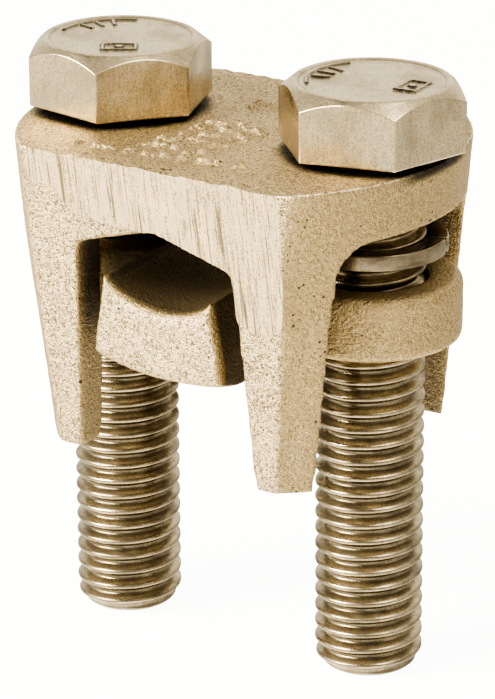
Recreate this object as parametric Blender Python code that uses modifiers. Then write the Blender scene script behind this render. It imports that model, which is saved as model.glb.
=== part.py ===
"""A two-bolt ground clamp: a cast saddle with four legs, a tapped jaw that slides between the legs, and
two long hex bolts that pass through the saddle and draw the jaw up, each with a split lock ring.

+X runs from the left bolt to the right one, Y along the clamped conductor with the front at -Y, and +Z
is up. The bolts stand with their tips on Z = 0."""

import math

import bmesh
import bpy
from mathutils import Matrix

MM = 0.001

# Bolts: 1/2-13 hex cap screws, 2-1/2 in long, threaded almost to the head
BOLT_SPACING = 34.1 * MM
PITCH = 25.4 / 13 * MM
CREST_RADIUS = 6.28 * MM
THREAD_DEPTH = 0.6134 * PITCH
CREST_FLAT = PITCH / 8
THREAD_PHASE = 0.13 * MM
FLANK_SLOPE = math.tan(math.radians(30))
TIP_RADIUS = 5.1 * MM
TIP_CHAMFER = 1.1 * MM
THREAD_TOP = 59.0 * MM
NECK_RADIUS = 5.9 * MM
BEARING_Z = 62.8 * MM
WASHER_FACE_RADIUS = 9.0 * MM
WASHER_FACE_HEIGHT = 0.4 * MM
HEX_CORNER_RADIUS = 19.05 / 2 / math.cos(math.radians(30)) * MM
HEAD_HEIGHT = 7.6 * MM
HEAD_TOP_RADIUS = 8.93 * MM
HEAD_CORNER_HEIGHT = 5.85 * MM
HEAD_TURN = {"left": 49.68, "right": 14.61}
SIDES = {"left": -1, "right": 1}

# Saddle: a drafted round block with two flat faces, hollowed from below
TOP_Z = 62.5 * MM
LEG_BOTTOM_Z = 26.6 * MM
END_RADIUS = 26.2 * MM
END_DRAFT = 0.083
HALF_WIDTH = 19.2 * MM
SIDE_DRAFT = 0.045
BOLT_HOLE_RADIUS = 7.15 * MM

# Conductor window, along Y: an inverted V between the legs
WINDOW_PEAK_Z = 55.45 * MM
WINDOW_SHOULDER_Z = 52.4 * MM
WINDOW_SHOULDER_X = 10.45 * MM
WINDOW_FOOT_X = 12.1 * MM
WINDOW_PEAK_RADIUS = 3.0 * MM
WINDOW_SHOULDER_RADIUS = 0.9 * MM

# Bolt pockets, open at each end of the saddle
POCKET_CEILING_Z = 55.6 * MM
POCKET_HALF_WIDTH = 13.6 * MM
POCKET_CORNER = 3.6 * MM
POCKET_ROUND = 10.0 * MM
POCKET_OVERLAP = 0.15 * MM

# Jaw: a grooved pad between the front and back windows, with a tapped boss round each bolt
JAW_HALF_LENGTH = 17.9 * MM
HORN_Z = 48.75 * MM
HORN_X = 7.9 * MM
PAD_HALF_WIDTH = 8.75 * MM
PAD_LOW_SIDE_Z = 39.2 * MM
PAD_BOTTOM_Z = 37.4 * MM
GROOVE_BOTTOM_Z = 45.5 * MM
GROOVE_RADIUS = 10.6 * MM
BOSS_RADIUS = 10.5 * MM
BOSS_TOP_Z = 48.2 * MM
BOSS_BOTTOM_Z = 40.75 * MM
BOSS_EDGE = 0.8 * MM
TAP_CLEARANCE = 0.35 * MM
TAP_CREST_RADIUS = 6.9 * MM
TAP_ROOT_RADIUS = 5.58 * MM

# Split lock rings, between the saddle and the jaw
RING_INNER_RADIUS = 6.65 * MM
RING_OUTER_RADIUS = 8.8 * MM
RING_BOTTOM_Z = 50.85 * MM
RING_THICKNESS = 1.9 * MM
RING_RISE = 0.25 * MM
RING_GAP_FROM = 14.0
RING_GAP_ANGLE = 16.0

# A cutter reaches BEYOND what it cuts, and pieces that are joined run OVERLAP into each other
BEYOND = 5 * MM
OVERLAP = 1 * MM
# A rounded edge's middle lies this share of its radius in from the corner
ROUND_OFF = 1 - math.sqrt(0.5)
ROUND_SEGMENTS = 72
SADDLE_SEGMENTS = 96
THREAD_SEGMENTS = 12
CORNER_STEPS = 4
BELLY_STEPS = 10
GROOVE_STEPS = 16
RING_STEPS = 40
SMOOTH_ANGLE = math.radians(32)

BRONZE = (0.53, 0.40, 0.21, 1.0)
BOLT_BRONZE = (0.50, 0.37, 0.19, 1.0)


def clear_scene():
    for obj in list(bpy.data.objects):
        bpy.data.objects.remove(obj, do_unlink=True)


def new_collection(name):
    group = bpy.data.collections.new(name)
    bpy.context.scene.collection.children.link(group)
    return group


def new_material(name, colour, roughness):
    look = bpy.data.materials.new(name)
    look.use_nodes = True
    shader = look.node_tree.nodes["Principled BSDF"]
    shader.inputs["Base Color"].default_value = colour
    shader.inputs["Metallic"].default_value = 1.0
    shader.inputs["Roughness"].default_value = roughness
    return look


def link_mesh(name, mesh, group, look=None):
    mesh.shade_smooth()
    mesh.set_sharp_from_angle(angle=SMOOTH_ANGLE)
    obj = bpy.data.objects.new(name, mesh)
    group.objects.link(obj)
    if look is None:
        obj.hide_render = True
        obj.display_type = "WIRE"
    else:
        mesh.materials.append(look)
    return obj


def from_bmesh(name, bm, group, look=None):
    bmesh.ops.recalc_face_normals(bm, faces=bm.faces[:])
    mesh = bpy.data.meshes.new(name)
    bm.to_mesh(mesh)
    bm.free()
    return link_mesh(name, mesh, group, look)


def combine(target, operation, other):
    step = target.modifiers.new(operation.lower() + "_" + other.name, "BOOLEAN")
    step.operation = operation
    step.solver = "EXACT"
    step.object = other


def frustum(name, group, bottom, top, look=None, segments=ROUND_SEGMENTS, turn=0.0):
    """A round or many-sided block between bottom and top, each (radius, z), with a corner at turn degrees."""
    bm = bmesh.new()
    middle = Matrix.Translation((0, 0, (bottom[1] + top[1]) / 2))
    bmesh.ops.create_cone(
        bm,
        cap_ends=True,
        segments=segments,
        radius1=bottom[0],
        radius2=top[0],
        depth=top[1] - bottom[1],
        matrix=middle @ Matrix.Rotation(math.radians(turn - 90), 4, "Z"),
    )
    return from_bmesh(name, bm, group, look)


def turned(name, group, profile, look=None):
    """A turned solid. The profile, [(radius, z), ...], runs from the axis out, down and back to the axis."""
    mesh = bpy.data.meshes.new(name)
    edges = [(i, i + 1) for i in range(len(profile) - 1)]
    mesh.from_pydata([(radius, 0, z) for radius, z in profile], edges, [])
    obj = link_mesh(name, mesh, group, look)
    screw = obj.modifiers.new("turn", "SCREW")
    screw.steps = ROUND_SEGMENTS
    screw.render_steps = ROUND_SEGMENTS
    screw.use_merge_vertices = True
    screw.merge_threshold = 0.00001
    return obj


def rounded_outline(corners):
    """An outline through corners (x, y, radius), each corner rounded to its radius."""
    outline = []
    for i, (x, y, radius) in enumerate(corners):
        before = math.atan2(corners[i - 1][1] - y, corners[i - 1][0] - x)
        after_x, after_y, _ = corners[(i + 1) % len(corners)]
        after = math.atan2(after_y - y, after_x - x)
        opening = (after - before) % (2 * math.pi)
        turn = 1 if opening < math.pi else -1
        half = min(opening, 2 * math.pi - opening) / 2
        if radius == 0 or half < 0.01:
            outline.append((x, y))
            continue
        middle = before + turn * half
        reach = radius / math.sin(half)
        centre = (x + reach * math.cos(middle), y + reach * math.sin(middle))
        sweep = math.pi / 2 - half
        for k in range(CORNER_STEPS + 1):
            angle = middle + math.pi + turn * sweep * (1 - 2 * k / CORNER_STEPS)
            outline.append((centre[0] + radius * math.cos(angle), centre[1] + radius * math.sin(angle)))
    return outline


def prism(name, group, outline, along, start, end, look=None):
    """A flat outline drawn out along X, given as (y, z), or along Y, given as (x, z)."""
    curve = bpy.data.curves.new(name + "_outline", "CURVE")
    curve.dimensions = "2D"
    curve.fill_mode = "BOTH"
    curve.extrude = (end - start) / 2
    spline = curve.splines.new("POLY")
    spline.points.add(len(outline) - 1)
    for point, (u, v) in zip(spline.points, outline):
        point.co = (u, v, 0, 1)
    spline.use_cyclic_u = True
    guide = bpy.data.objects.new(name + "_outline", curve)
    group.objects.link(guide)
    middle = (start + end) / 2
    if along == "X":
        guide.matrix_world = Matrix(((0, 0, 1, middle), (1, 0, 0, 0), (0, 1, 0, 0), (0, 0, 0, 1)))
    else:
        guide.matrix_world = Matrix(((1, 0, 0, 0), (0, 0, -1, middle), (0, 1, 0, 0), (0, 0, 0, 1)))
    bpy.context.view_layer.update()
    drawn = guide.evaluated_get(bpy.context.evaluated_depsgraph_get())
    mesh = bpy.data.meshes.new_from_object(drawn)
    bm = bmesh.new()
    bm.from_mesh(mesh)
    bpy.data.meshes.remove(mesh)
    bmesh.ops.remove_doubles(bm, verts=bm.verts[:], dist=0.000001)
    obj = from_bmesh(name, bm, group, look)
    obj.matrix_world = guide.matrix_world
    bpy.data.objects.remove(guide, do_unlink=True)
    return obj


def threaded_rod(name, group, crest_radius, root_radius, crest_flat, bottom, top, look=None):
    """A right-hand threaded rod with loose ends two turns beyond bottom and top, to be trimmed later."""
    flank = (crest_radius - root_radius) * FLANK_SLOPE
    one_pitch = [
        (crest_radius, -crest_flat / 2),
        (crest_radius, crest_flat / 2),
        (root_radius, crest_flat / 2 + flank),
        (root_radius, PITCH - crest_flat / 2 - flank),
    ]
    per_turn = len(one_pitch)
    first = math.floor((bottom - THREAD_PHASE) / PITCH) - 2
    last = math.ceil((top - THREAD_PHASE) / PITCH) + 2
    bm = bmesh.new()
    columns = []
    for i in range(THREAD_SEGMENTS):
        angle = 2 * math.pi * i / THREAD_SEGMENTS
        column = []
        for turn in range(first, last):
            lift = THREAD_PHASE + (turn + i / THREAD_SEGMENTS) * PITCH
            for radius, z in one_pitch:
                column.append(bm.verts.new((radius * math.cos(angle), radius * math.sin(angle), lift + z)))
        columns.append(column)
    # going once round, the last column meets the first one turn higher
    columns.append(columns[0][per_turn:])
    for left, right in zip(columns, columns[1:]):
        for j in range(len(right) - 1):
            bm.faces.new((left[j], right[j], right[j + 1], left[j + 1]))
    low_edge = [column[0] for column in columns[:-1]] + columns[0][per_turn:0:-1]
    high_edge = [column[-1] for column in columns[:-1]] + columns[-2][-2 : -per_turn - 2 : -1]
    for edge in (low_edge, high_edge):
        centre = bm.verts.new((0, 0, sum(vert.co.z for vert in edge) / len(edge)))
        for a, b in zip(edge, edge[1:] + edge[:1]):
            bm.faces.new((centre, a, b))
    return from_bmesh(name, bm, group, look)


def make_saddle(parts, cutters, look):
    depth = TOP_Z - LEG_BOTTOM_Z
    saddle = frustum(
        "saddle",
        parts,
        (END_RADIUS - END_DRAFT * depth, LEG_BOTTOM_Z),
        (END_RADIUS, TOP_Z),
        look,
        segments=SADDLE_SEGMENTS,
    )
    low_half = HALF_WIDTH - SIDE_DRAFT * depth
    rise = SIDE_DRAFT * BEYOND
    faces = [
        (-low_half + rise, LEG_BOTTOM_Z - BEYOND),
        (low_half - rise, LEG_BOTTOM_Z - BEYOND),
        (HALF_WIDTH + rise, TOP_Z + BEYOND),
        (-HALF_WIDTH - rise, TOP_Z + BEYOND),
    ]
    reach = END_RADIUS + BEYOND
    combine(saddle, "INTERSECT", prism("saddle_faces", cutters, faces, "X", -reach, reach))

    floor = LEG_BOTTOM_Z - BEYOND
    splay = (WINDOW_FOOT_X - WINDOW_SHOULDER_X) / (WINDOW_SHOULDER_Z - LEG_BOTTOM_Z)
    foot = WINDOW_FOOT_X + splay * BEYOND
    window = rounded_outline(
        [
            (-foot, floor, 0),
            (foot, floor, 0),
            (WINDOW_SHOULDER_X, WINDOW_SHOULDER_Z, WINDOW_SHOULDER_RADIUS),
            (0, WINDOW_PEAK_Z, WINDOW_PEAK_RADIUS),
            (-WINDOW_SHOULDER_X, WINDOW_SHOULDER_Z, WINDOW_SHOULDER_RADIUS),
        ]
    )
    combine(saddle, "DIFFERENCE", prism("conductor_window", cutters, window, "Y", -reach, reach))

    pocket = rounded_outline(
        [
            (-POCKET_HALF_WIDTH, floor, 0),
            (POCKET_HALF_WIDTH, floor, 0),
            (POCKET_HALF_WIDTH, POCKET_CEILING_Z, POCKET_CORNER),
            (-POCKET_HALF_WIDTH, POCKET_CEILING_Z, POCKET_CORNER),
        ]
    )
    round_wells = {
        "bolt_round_": (POCKET_ROUND, POCKET_CEILING_Z),
        "bolt_hole_": (BOLT_HOLE_RADIUS, TOP_Z + BEYOND),
    }
    for side, sign in SIDES.items():
        inner = sign * (WINDOW_SHOULDER_X - POCKET_OVERLAP)
        start, end = sorted((inner, sign * reach))
        combine(saddle, "DIFFERENCE", prism("pocket_" + side, cutters, pocket, "X", start, end))
        for name, (radius, high) in round_wells.items():
            cutter = frustum(name + side, cutters, (radius, floor), (radius, high))
            cutter.location.x = sign * BOLT_SPACING / 2
            combine(saddle, "DIFFERENCE", cutter)
    return saddle


def arc(centre_x, centre_z, radius, start, end, steps):
    """Points on an arc from the start angle to the end angle, in radians."""
    angles = [start + (end - start) * k / steps for k in range(steps + 1)]
    return [(centre_x + radius * math.cos(a), centre_z + radius * math.sin(a)) for a in angles]


def make_jaw(parts, cutters, look):
    groove_z = GROOVE_BOTTOM_Z + GROOVE_RADIUS
    groove_end = math.asin(-(groove_z - HORN_Z) / GROOVE_RADIUS)
    sag = PAD_LOW_SIDE_Z - PAD_BOTTOM_Z
    belly_radius = (PAD_HALF_WIDTH**2 + sag**2) / (2 * sag)
    belly_half = math.asin(PAD_HALF_WIDTH / belly_radius)
    down = -math.pi / 2
    belly_z = PAD_BOTTOM_Z + belly_radius
    outline = arc(0, belly_z, belly_radius, down - belly_half, down + belly_half, BELLY_STEPS)
    outline.append((HORN_X, HORN_Z))
    outline += arc(0, groove_z, GROOVE_RADIUS, groove_end, -math.pi - groove_end, GROOVE_STEPS)
    outline.append((-HORN_X, HORN_Z))
    jaw = prism("jaw", parts, outline, "Y", -JAW_HALF_LENGTH, JAW_HALF_LENGTH, look)

    inset = ROUND_OFF * BOSS_EDGE
    boss_profile = [
        (0, BOSS_TOP_Z),
        (BOSS_RADIUS - BOSS_EDGE, BOSS_TOP_Z),
        (BOSS_RADIUS - inset, BOSS_TOP_Z - inset),
        (BOSS_RADIUS, BOSS_TOP_Z - BOSS_EDGE),
        (BOSS_RADIUS, BOSS_BOTTOM_Z + BOSS_EDGE),
        (BOSS_RADIUS - inset, BOSS_BOTTOM_Z + inset),
        (BOSS_RADIUS - BOSS_EDGE, BOSS_BOTTOM_Z),
        (0, BOSS_BOTTOM_Z),
    ]
    for side, sign in SIDES.items():
        boss = turned("boss_" + side, cutters, boss_profile)
        boss.location.x = sign * BOLT_SPACING / 2
        combine(jaw, "UNION", boss)
    reach = JAW_HALF_LENGTH + BEYOND
    groove = frustum("groove", cutters, (GROOVE_RADIUS, -reach), (GROOVE_RADIUS, reach))
    groove.rotation_euler.x = math.pi / 2
    groove.location.z = groove_z
    combine(jaw, "DIFFERENCE", groove)
    for side, sign in SIDES.items():
        tap = threaded_rod(
            "tap_" + side,
            cutters,
            TAP_CREST_RADIUS,
            TAP_ROOT_RADIUS,
            CREST_FLAT + 2 * TAP_CLEARANCE - 2 * (TAP_CREST_RADIUS - CREST_RADIUS) * FLANK_SLOPE,
            PAD_BOTTOM_Z,
            HORN_Z,
        )
        tap.location.x = sign * BOLT_SPACING / 2
        combine(jaw, "DIFFERENCE", tap)
    return jaw


def make_bolt(side, parts, cutters, look):
    bolt = threaded_rod(
        "bolt_" + side,
        parts,
        CREST_RADIUS,
        CREST_RADIUS - THREAD_DEPTH,
        CREST_FLAT,
        0,
        THREAD_TOP,
        look,
    )
    wide = CREST_RADIUS + OVERLAP
    point = [
        (0, THREAD_TOP),
        (wide, THREAD_TOP),
        (wide, TIP_CHAMFER * (wide - TIP_RADIUS) / (CREST_RADIUS - TIP_RADIUS)),
        (TIP_RADIUS, 0),
        (0, 0),
    ]
    trim = turned("trim_" + side, cutters, point)
    combine(bolt, "INTERSECT", trim)

    hex_z = BEARING_Z + WASHER_FACE_HEIGHT
    corner_z = hex_z + HEAD_CORNER_HEIGHT
    slope = (HEAD_HEIGHT - HEAD_CORNER_HEIGHT) / (HEX_CORNER_RADIUS - HEAD_TOP_RADIUS)
    shape = [
        (0, hex_z + HEAD_HEIGHT),
        (HEAD_TOP_RADIUS, hex_z + HEAD_HEIGHT),
        (HEX_CORNER_RADIUS + OVERLAP, corner_z - slope * OVERLAP),
        (HEX_CORNER_RADIUS + OVERLAP, hex_z),
        (WASHER_FACE_RADIUS, hex_z),
        (WASHER_FACE_RADIUS, BEARING_Z),
        (0, BEARING_Z),
    ]
    head = turned("head_" + side, cutters, shape)
    flats = frustum(
        "flats_" + side,
        cutters,
        (HEX_CORNER_RADIUS, BEARING_Z - OVERLAP),
        (HEX_CORNER_RADIUS, hex_z + HEAD_HEIGHT + OVERLAP),
        segments=6,
        turn=HEAD_TURN[side],
    )
    combine(head, "INTERSECT", flats)
    neck = frustum(
        "neck_" + side,
        cutters,
        (NECK_RADIUS, THREAD_TOP - OVERLAP),
        (NECK_RADIUS, hex_z + OVERLAP),
        segments=ROUND_SEGMENTS // 2,
    )
    combine(bolt, "UNION", neck)
    combine(bolt, "UNION", head)
    for obj in (bolt, trim, head, flats, neck):
        obj.location.x = SIDES[side] * BOLT_SPACING / 2
    return bolt


def make_lock_ring(side, parts, look):
    """One turn of square bar with a gap, rising a little from its low end to its high end."""
    bm = bmesh.new()
    sections = []
    for k in range(RING_STEPS + 1):
        share = k / RING_STEPS
        angle = math.radians(RING_GAP_FROM - share * (360 - RING_GAP_ANGLE))
        low = RING_BOTTOM_Z + RING_RISE * (1 - share)
        high = low + RING_THICKNESS
        corners = (
            (RING_INNER_RADIUS, low),
            (RING_OUTER_RADIUS, low),
            (RING_OUTER_RADIUS, high),
            (RING_INNER_RADIUS, high),
        )
        sections.append([bm.verts.new((r * math.cos(angle), r * math.sin(angle), z)) for r, z in corners])
    for here, there in zip(sections, sections[1:]):
        for i in range(4):
            j = (i + 1) % 4
            bm.faces.new((here[i], here[j], there[j], there[i]))
    bm.faces.new(sections[0])
    bm.faces.new(sections[-1])
    ring = from_bmesh("lock_ring_" + side, bm, parts, look)
    ring.location.x = SIDES[side] * BOLT_SPACING / 2
    return ring


def main():
    clear_scene()
    parts = new_collection("ground_clamp")
    cutters = new_collection("cutters")
    cutters.hide_render = True
    make_saddle(parts, cutters, new_material("saddle_bronze", BRONZE, 0.55))
    make_jaw(parts, cutters, new_material("jaw_bronze", BRONZE, 0.6))
    for side in SIDES:
        make_bolt(side, parts, cutters, new_material("bolt_bronze_" + side, BOLT_BRONZE, 0.35))
        make_lock_ring(side, parts, new_material("ring_bronze_" + side, BOLT_BRONZE, 0.45))


main()
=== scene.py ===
"""Looks for the two-bolt ground clamp: sand-cast saddle and jaw, rolled-thread hex bolts and split rings.

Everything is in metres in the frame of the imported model: +X from the left bolt to the right one, the front
at -Y, +Z up, and the bolt tips on Z = 0. Sizes are in millimetres times MM."""

import math

import bmesh
import bpy
import numpy as np
from mathutils import Matrix, Vector, noise


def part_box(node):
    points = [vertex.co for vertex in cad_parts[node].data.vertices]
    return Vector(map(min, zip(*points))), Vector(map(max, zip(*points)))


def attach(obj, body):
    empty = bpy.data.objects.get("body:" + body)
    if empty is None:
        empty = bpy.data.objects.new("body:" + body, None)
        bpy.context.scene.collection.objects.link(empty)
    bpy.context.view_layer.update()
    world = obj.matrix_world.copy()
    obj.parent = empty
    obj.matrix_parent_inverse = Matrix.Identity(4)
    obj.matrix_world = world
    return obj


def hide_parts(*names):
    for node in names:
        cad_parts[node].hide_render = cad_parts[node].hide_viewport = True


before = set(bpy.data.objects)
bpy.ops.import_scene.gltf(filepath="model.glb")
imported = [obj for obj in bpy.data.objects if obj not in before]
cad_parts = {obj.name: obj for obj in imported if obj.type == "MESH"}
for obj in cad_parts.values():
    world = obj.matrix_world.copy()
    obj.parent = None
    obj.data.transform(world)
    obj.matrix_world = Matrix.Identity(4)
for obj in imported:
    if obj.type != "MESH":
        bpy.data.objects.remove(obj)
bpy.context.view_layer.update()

MM = 0.001
SIDES = ("left", "right")
BODY_OF_BOLT = {"left": "bolt_left", "right": "bolt_right"}

# Camera, at the photographed angle
CAMERA_AT = (0.22339, -0.33944, 0.18592)
CAMERA_AZIMUTH = math.radians(33.313)
CAMERA_DROP = math.radians(20.331)
CAMERA_ROLL = math.radians(-0.3035)
CAMERA_LENS = 191.24
SENSOR = 36

# Castings
SADDLE_VOXEL = 0.3 * MM
JAW_VOXEL = 0.28 * MM
PLUG_RADIUS = 7.4 * MM
PLUG_SPAN = (40.75 * MM, 48.2 * MM)
BORE_RADIUS = 6.62 * MM
HALF_WIDTH = 19.2 * MM
SIDE_DRAFT = 0.045
GRINDING_STOCK = 0.38 * MM
FOOT_STOCK = 0.55 * MM
LEG_LEAN = 0.7 * MM
PAD_HALF_WIDTH = 8.75 * MM
PAD_PROUD = 0.6 * MM
LARGE_FACE = 40

# Bolts, 1/2-13 UNC with 3/4 inch heads, their axes at this X on either side
BOLT_AXIS = 17.05 * MM
PITCH = 25.4 / 13 * MM
CREST_RADIUS = 6.28 * MM
ROOT_RADIUS = 5.3 * MM
THREAD_PHASE = 0.13 * MM
THREAD_TOP = 59.0 * MM
TIP_RADIUS = 4.9 * MM
TIP_CHAMFER = 1.3 * MM
NECK_RADIUS = 5.9 * MM
WASHER_FACE_RADIUS = 9.0 * MM
WASHER_FACE_HEIGHT = 0.4 * MM
HEX_HEIGHT = 7.6 * MM
HALF_FLATS = 19.05 / 2 * MM
CORNER_ROUNDING = 0.14 * MM
HEAD_TOP_RADIUS = 8.93 * MM
HEAD_CORNER_DROP = 1.75 * MM
MARK_HEIGHT = 0.24 * MM
BARS_AT = 5.9 * MM
BAR_HALF_LENGTH = 0.95 * MM
BAR_STEP = 17
ARC_RADIUS = 7.35 * MM
ARC_HALF_SPAN = 40
HEAD_TURN = {"left": 49.68, "right": 14.61}
BARS_TURN = {"left": 100, "right": 167}
BOX_TURN = {"left": -107, "right": -10}
BOX_REACH = {"left": 4.5 * MM, "right": 5.0 * MM}
SHANK_COLUMNS = 96
HEAD_COLUMNS = 384
ROWS_PER_PITCH = 16
SEAT_RINGS = 5

# Split rings
RING_INNER_RADIUS = 6.65 * MM
RING_THICKNESS = 1.9 * MM
RING_EDGE = 0.22 * MM
RING_GAP_FROM = math.radians(14)
RING_GAP = math.radians(9)
RING_STEPS = 150

# Colours of bronze, from its ground faces to the painted shade in its recesses
GROUND_BRONZE = (0.84, 0.69, 0.47)
# Light bronze of the top rim: partly wear, partly painted highlight
RIM_WEAR_AND_HIGHLIGHT_BRONZE = (0.95, 0.82, 0.62)
BRONZE_LIGHT = (0.65, 0.515, 0.31)
BRONZE = (0.455, 0.355, 0.20)
BRONZE_DARK = (0.17, 0.132, 0.08)
SATIN_LIGHT = (0.69, 0.595, 0.425)
SATIN_DARK = (0.23, 0.19, 0.128)
# A dull dark: real stains on the threads, and painted shade in the recesses and on the split rings
DULL_STAIN_AND_SHADE = (0.13, 0.11, 0.084)
# Near black: the casting pits, and painted shadow and shade under the heads, in the thread roots, on the
# sides of the head marks and on the washer faces
DIRT_AND_SHADE = (0.03, 0.026, 0.02)
# How far the painted shade in the recesses goes towards the dull dark
RECESS_SHADE = 0.9

# Studio, with its directions as seen from the clamp
WARM_WHITE = (1, 0.925, 0.76)
PAPER_WHITE = (1, 0.995, 0.985, 1)
PAPER_GLOW = 3.8
FLOOR_GLOW = 3.4
FLOOR_GREY = (0.5, 0.5, 0.49, 1)
FLOOR_REACH = 4
TO_KEY = (-0.59, -0.81, 0.0)
TO_WALL = (-0.52, 0.78, 0.35)
TO_SIDE = (0.56, 0.32, 0.77)
LIGHTS_AIM = Vector((0, 0, 0.045))


# ---------------------------------------------------------------- mesh helpers


def new_piece(name, points, faces, looks, body, replaced):
    """A shown piece from points and faces, riding on a body and standing for a CAD node."""
    mesh = bpy.data.meshes.new(name)
    mesh.from_pydata([tuple(p) for p in points], [], [tuple(int(i) for i in f) for f in faces])
    mesh.validate()
    mesh.update()
    mesh.shade_smooth()
    for look in looks:
        mesh.materials.append(look)
    obj = bpy.data.objects.new(name, mesh)
    bpy.context.scene.collection.objects.link(obj)
    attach(obj, body)
    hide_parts(replaced)
    return obj


def points_of(mesh):
    """The points of a mesh, one a row."""
    points = np.empty(len(mesh.vertices) * 3, np.float64)
    mesh.vertices.foreach_get("co", points)
    return points.reshape(-1, 3)


def edges_of(mesh):
    """The edges of a mesh as pairs of point numbers, one a row."""
    edges = np.empty(len(mesh.edges) * 2, np.int64)
    mesh.edges.foreach_get("vertices", edges)
    return edges.reshape(-1, 2)


def normals_of(mesh, points):
    """Vertex normals of the mesh once its points are moved to the given ones."""
    mesh.vertices.foreach_set("co", points.astype(np.float32).ravel())
    mesh.update()
    normals = np.empty(len(mesh.vertices) * 3, np.float32)
    mesh.vertex_normals.foreach_get("vector", normals)
    return normals.reshape(-1, 3).astype(np.float64)


def smooth_step(values, low, high):
    """0 up to low, 1 from high on, and a smooth rise between them."""
    t = np.clip((values - low) / (high - low), 0, 1)
    return t * t * (3 - 2 * t)


def relaxed(points, edges, rounds, share):
    """Points drawn towards the mean of their neighbours, round after round, by share."""
    a, b = edges[:, 0], edges[:, 1]
    count = np.bincount(edges.ravel(), minlength=len(points))
    for _ in range(rounds):
        mean = np.empty_like(points)
        for axis in range(3):
            total = np.bincount(a, points[b, axis], len(points))
            total += np.bincount(b, points[a, axis], len(points))
            mean[:, axis] = total / count
        points = points + (mean - points) * share
    return points


def noise_at(points, size, seed):
    """Smooth noise from -1 to 1 with features about size metres across."""
    shift = Vector((7.31 * seed, 3.17 * seed, 5.71 * seed))
    scaled = points / size
    return np.array([noise.noise(Vector(p) + shift) for p in scaled])


def helper_cylinder(name, x, radius, low, high):
    """A hidden cylinder to cut or fill with."""
    bm = bmesh.new()
    place = Matrix.Translation((x, 0, (low + high) / 2))
    bmesh.ops.create_cone(
        bm, cap_ends=True, segments=96, radius1=radius, radius2=radius, depth=high - low, matrix=place
    )
    mesh = bpy.data.meshes.new(name)
    bm.to_mesh(mesh)
    bm.free()
    obj = bpy.data.objects.new(name, mesh)
    bpy.context.scene.collection.objects.link(obj)
    return obj


def remeshed(node, voxel, steps):
    """A fine even mesh of a CAD node, after the Boolean steps [(operation, helper), ...]."""
    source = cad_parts[node]
    work = bpy.data.objects.new("work_" + node, source.data.copy())
    bpy.context.scene.collection.objects.link(work)
    weld = work.modifiers.new("weld", "WELD")
    weld.merge_threshold = 0.002 * MM
    for operation, helper in steps:
        boolean = work.modifiers.new(operation, "BOOLEAN")
        boolean.operation = operation
        boolean.solver = "EXACT"
        boolean.object = helper
    remesh = work.modifiers.new("remesh", "REMESH")
    remesh.mode = "VOXEL"
    remesh.voxel_size = voxel
    bpy.context.view_layer.update()
    graph = bpy.context.evaluated_depsgraph_get()
    mesh = bpy.data.meshes.new_from_object(work.evaluated_get(graph))
    for obj in [work] + [helper for _, helper in steps]:
        bpy.data.objects.remove(obj)
    return mesh


def finish_casting(name, mesh, points, look, body, replaced):
    """A shown piece from a casting's mesh and its moved points, standing for a CAD node."""
    mesh.vertices.foreach_set("co", points.astype(np.float32).ravel())
    mesh.name = name
    mesh.materials.clear()
    mesh.materials.append(look)
    mesh.polygons.foreach_set("material_index", np.zeros(len(mesh.polygons), np.int32))
    mesh.update()
    mesh.shade_smooth()
    obj = bpy.data.objects.new(name, mesh)
    bpy.context.scene.collection.objects.link(obj)
    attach(obj, body)
    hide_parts(replaced)


# ---------------------------------------------------------------- material helpers


def new_look(name):
    look = bpy.data.materials.new(name)
    look.use_nodes = True
    tree = look.node_tree
    return look, tree, tree.nodes["Principled BSDF"]


def add(tree, kind, inputs=None, **settings):
    """A node with its settings, and its inputs given as values or as sockets to link."""
    made = tree.nodes.new("ShaderNode" + kind)
    for key, value in settings.items():
        setattr(made, key, value)
    for key, value in (inputs or {}).items():
        if isinstance(value, bpy.types.NodeSocket):
            tree.links.new(value, made.inputs[key])
        else:
            made.inputs[key].default_value = value
    return made


def math_of(tree, operation, a, b=0.0):
    return add(tree, "Math", {0: a, 1: b}, operation=operation).outputs[0]


def times(tree, a, b):
    """The product of two values or sockets."""
    return math_of(tree, "MULTIPLY", a, b)


def mapped(tree, value, low, high, to_low=0.0, to_high=1.0):
    """A smooth step of value from low to high, giving to_low to to_high."""
    inputs = {"Value": value, "From Min": low, "From Max": high, "To Min": to_low, "To Max": to_high}
    return add(tree, "MapRange", inputs, interpolation_type="SMOOTHSTEP").outputs[0]


def blended(tree, share, a, b):
    """Colour a going over to colour b by share."""
    made = add(tree, "Mix", data_type="RGBA")
    values = {("Factor", "VALUE"): share, ("A", "RGBA"): a, ("B", "RGBA"): b}
    for socket in made.inputs:
        value = values.get((socket.name, socket.type))
        if isinstance(value, bpy.types.NodeSocket):
            tree.links.new(value, socket)
        elif value is not None:
            socket.default_value = value if socket.type == "VALUE" else (*value, 1.0)
    return next(out for out in made.outputs if out.type == "RGBA")


def noise_of(tree, where, scale, detail=2.0, roughness=0.5):
    inputs = {"Vector": where, "Scale": scale, "Detail": detail, "Roughness": roughness}
    return add(tree, "TexNoise", inputs).outputs["Fac"]


def stretched(tree, where, scale):
    return add(tree, "Mapping", {"Vector": where, "Scale": scale}).outputs[0]


def bumped(tree, height, distance, strength, under=None):
    inputs = {"Height": height, "Distance": distance, "Strength": strength}
    if under is not None:
        inputs["Normal"] = under
    return add(tree, "Bump", inputs).outputs[0]


# ---------------------------------------------------------------- materials


def shadow_under_heads(tree, at):
    """Painted shadow on the saddle's top, under the bolt heads and round its bolt holes."""
    place = add(tree, "SeparateXYZ", {0: at})
    aside = math_of(tree, "SUBTRACT", math_of(tree, "ABSOLUTE", place.outputs[0]), BOLT_AXIS)
    flat = add(tree, "CombineXYZ", {0: aside, 1: place.outputs[1]}).outputs[0]
    away = add(tree, "VectorMath", {0: flat}, operation="LENGTH").outputs["Value"]
    near = mapped(tree, away, 9.5 * MM, 11.3 * MM, 1, 0)
    high = mapped(tree, place.outputs[2], 61.0 * MM, 62.0 * MM)
    return times(tree, near, high)


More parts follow.
